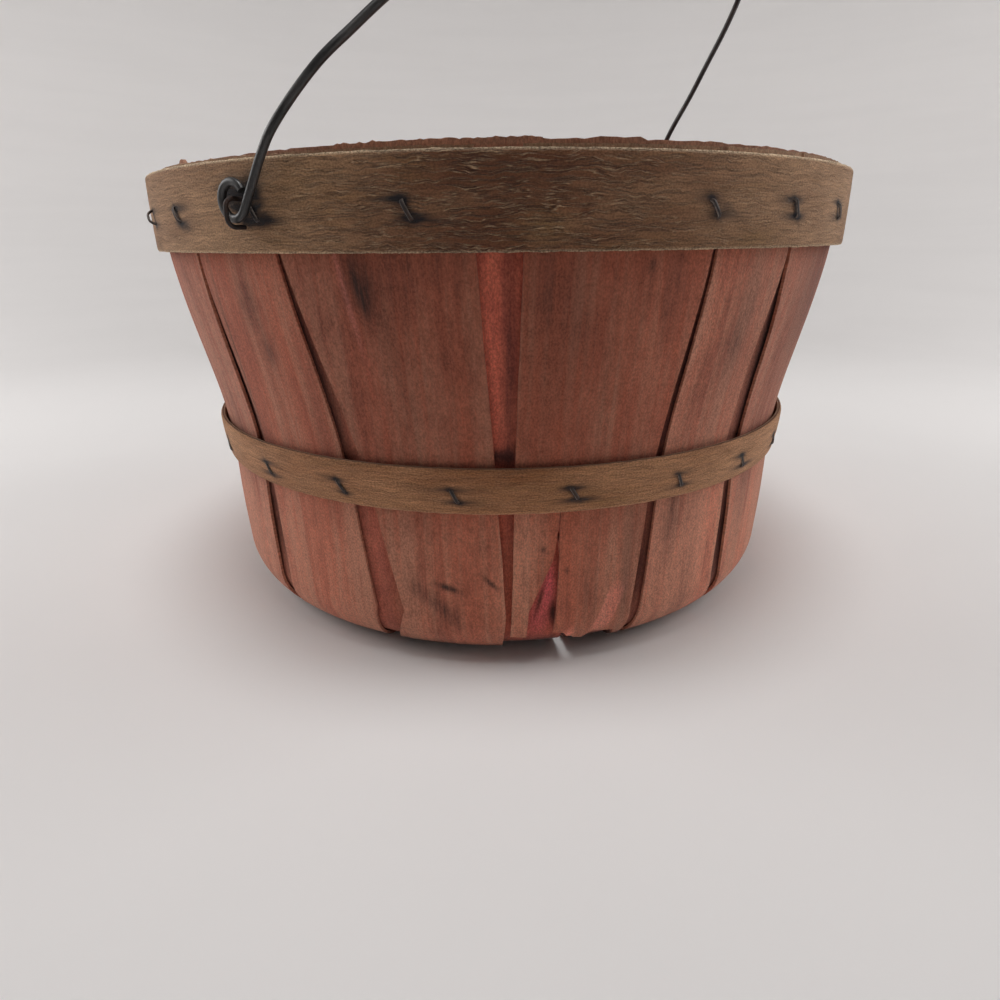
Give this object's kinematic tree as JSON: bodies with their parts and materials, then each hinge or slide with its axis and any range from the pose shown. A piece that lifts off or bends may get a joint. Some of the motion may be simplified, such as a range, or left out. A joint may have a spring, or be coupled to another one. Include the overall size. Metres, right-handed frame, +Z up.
{
  "type": "fruit basket",
  "caption": "Round fruit basket of red-stained bent wood splints, with wooden rim and belly hoops, wire staples and a swinging wire bail.",
  "frame": {"origin": "on the floor under the middle of the basket, on its axis", "axes": "+Z up along the basket's axis, -Y towards the front that the picture shows, +X to its right"},
  "size_m": [0.3772, 0.3775, 0.3595],
  "materials": {
    "outer_splint_wood": "weathered veneer, red stain worn to grey brown",
    "inner_splint_wood": "veneer with a bright red stain, less worn",
    "rim_hoop_wood": "bare grey-brown wood with raised grain",
    "belly_hoop_wood": "bare tan wood with dark stains at the staples",
    "staple_wire": "dark rusted steel wire",
    "bail_wire": "dark oxidised steel wire"
  },
  "bodies": {
    "basket": {"outer_splint_1": "outer_splint_wood", "outer_splint_2": "outer_splint_wood", "outer_splint_3": "outer_splint_wood", "outer_splint_4": "outer_splint_wood", "outer_splint_5": "outer_splint_wood", "outer_splint_6": "outer_splint_wood", "outer_splint_7": "outer_splint_wood", "outer_splint_8": "outer_splint_wood", "inner_splint_1": "inner_splint_wood", "inner_splint_2": "inner_splint_wood", "inner_splint_3": "inner_splint_wood", "inner_splint_4": "inner_splint_wood", "inner_splint_5": "inner_splint_wood", "inner_splint_6": "inner_splint_wood", "inner_splint_7": "inner_splint_wood", "inner_splint_8": "inner_splint_wood", "outer_rim_hoop": "rim_hoop_wood", "inner_rim_hoop": "rim_hoop_wood", "belly_hoop": "belly_hoop_wood", "rim_staple_01": "staple_wire", "rim_staple_02": "staple_wire", "rim_staple_03": "staple_wire", "rim_staple_04": "staple_wire", "rim_staple_05": "staple_wire", "rim_staple_06": "staple_wire", "rim_staple_07": "staple_wire", "rim_staple_08": "staple_wire", "rim_staple_09": "staple_wire", "rim_staple_10": "staple_wire", "rim_staple_11": "staple_wire", "rim_staple_12": "staple_wire", "rim_staple_13": "staple_wire", "rim_staple_14": "staple_wire", "rim_staple_15": "staple_wire", "rim_staple_16": "staple_wire", "rim_staple_17": "staple_wire", "rim_staple_18": "staple_wire", "belly_staple_01": "staple_wire", "belly_staple_02": "staple_wire", "belly_staple_03": "staple_wire", "belly_staple_04": "staple_wire", "belly_staple_05": "staple_wire", "belly_staple_06": "staple_wire", "belly_staple_07": "staple_wire", "belly_staple_08": "staple_wire", "belly_staple_09": "staple_wire", "belly_staple_10": "staple_wire", "belly_staple_11": "staple_wire", "belly_staple_12": "staple_wire", "belly_staple_13": "staple_wire", "belly_staple_14": "staple_wire", "belly_staple_15": "staple_wire", "belly_staple_16": "staple_wire", "belly_staple_17": "staple_wire", "belly_staple_18": "staple_wire", "belly_staple_19": "staple_wire", "bottom_staple": "staple_wire", "front_ear": "bail_wire", "rear_ear": "bail_wire"},
    "bail": {"bail": "bail_wire"}
  },
  "joints": [
    {"name": "bail_swing", "type": "hinge", "parent": "basket", "child": "bail", "pos_m": [0, 0, 0.20825], "axis": [-0.515, -0.8572, 0], "range_deg": [0, 100]}
  ]
}
